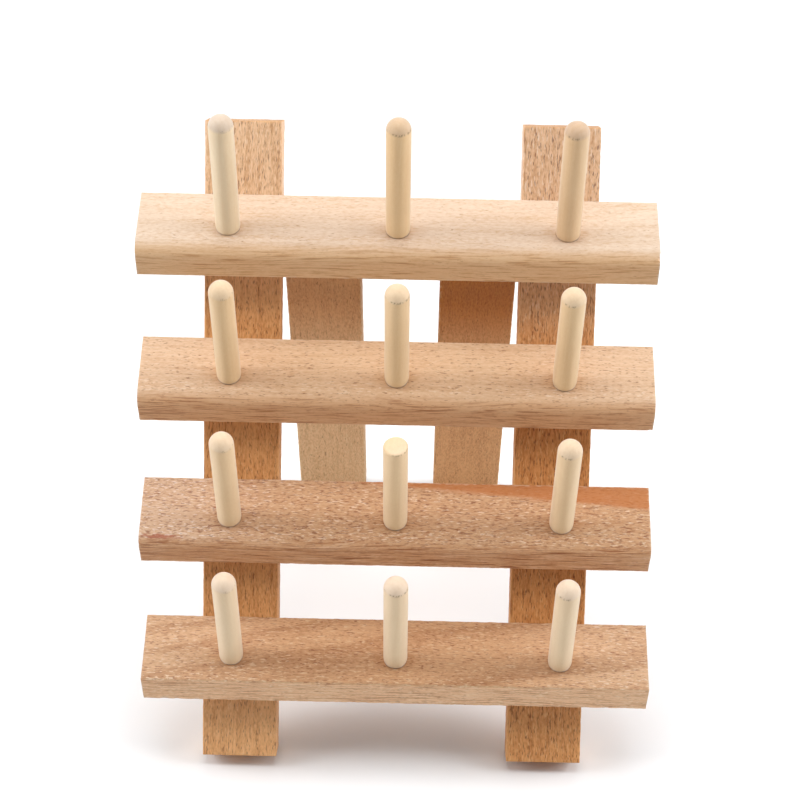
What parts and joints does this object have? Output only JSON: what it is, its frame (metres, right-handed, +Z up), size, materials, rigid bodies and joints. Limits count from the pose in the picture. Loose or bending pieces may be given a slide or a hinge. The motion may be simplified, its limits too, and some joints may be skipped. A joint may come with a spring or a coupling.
{
  "type": "folding thread rack",
  "caption": "Beech easel rack for thread spools: tilted rails with domed pegs across two leaning uprights, held up by struts that fold in between the uprights.",
  "frame": {"origin": "on the table, in the middle of the standing rack's footprint", "axes": "+X to the right as seen from the pegs' side, +Y away from the pegs towards the struts' feet, +Z up; the rack stands open on the lower back edges of its uprights and on its struts' feet"},
  "size_m": [0.2022, 0.1982, 0.2613],
  "materials": {
    "upright_beech": "satin",
    "rail_beech": "satin",
    "pale_rail_beech": "satin",
    "peg_wood": "satin",
    "strut_beech": "satin",
    "hinge_steel": "satin",
    "pin_steel": "satin",
    "screw_steel": "satin"
  },
  "bodies": {
    "rack": {"left_upright": "upright_beech", "right_upright": "upright_beech", "top_rail": "pale_rail_beech", "upper_rail": "rail_beech", "lower_rail": "rail_beech", "bottom_rail": "rail_beech", "top_left_peg": "peg_wood", "top_middle_peg": "peg_wood", "top_right_peg": "peg_wood", "upper_left_peg": "peg_wood", "upper_middle_peg": "peg_wood", "upper_right_peg": "peg_wood", "lower_left_peg": "peg_wood", "lower_middle_peg": "peg_wood", "lower_right_peg": "peg_wood", "bottom_left_peg": "peg_wood", "bottom_middle_peg": "peg_wood", "bottom_right_peg": "peg_wood", "left_fixed_leaf": "hinge_steel", "right_fixed_leaf": "hinge_steel", "left_hinge_pin": "pin_steel", "right_hinge_pin": "pin_steel", "left_fixed_leaf_screws": "screw_steel", "right_fixed_leaf_screws": "screw_steel", "left_rail_screws": "screw_steel", "right_rail_screws": "screw_steel"},
    "left_strut": {"left_strut": "strut_beech", "left_moving_leaf": "hinge_steel", "left_moving_leaf_screws": "screw_steel"},
    "right_strut": {"right_strut": "strut_beech", "right_moving_leaf": "hinge_steel", "right_moving_leaf_screws": "screw_steel"}
  },
  "joints": [
    {"name": "left_strut_fold", "type": "hinge", "parent": "rack", "child": "left_strut", "pos_m": [-0.0307, 0.00548, 0.18992], "axis": [-1, 0, 0], "range_deg": [0, 50]},
    {"name": "right_strut_fold", "type": "hinge", "parent": "rack", "child": "right_strut", "pos_m": [0.0307, 0.00548, 0.18992], "axis": [-1, 0, 0], "range_deg": [0, 50]}
  ]
}
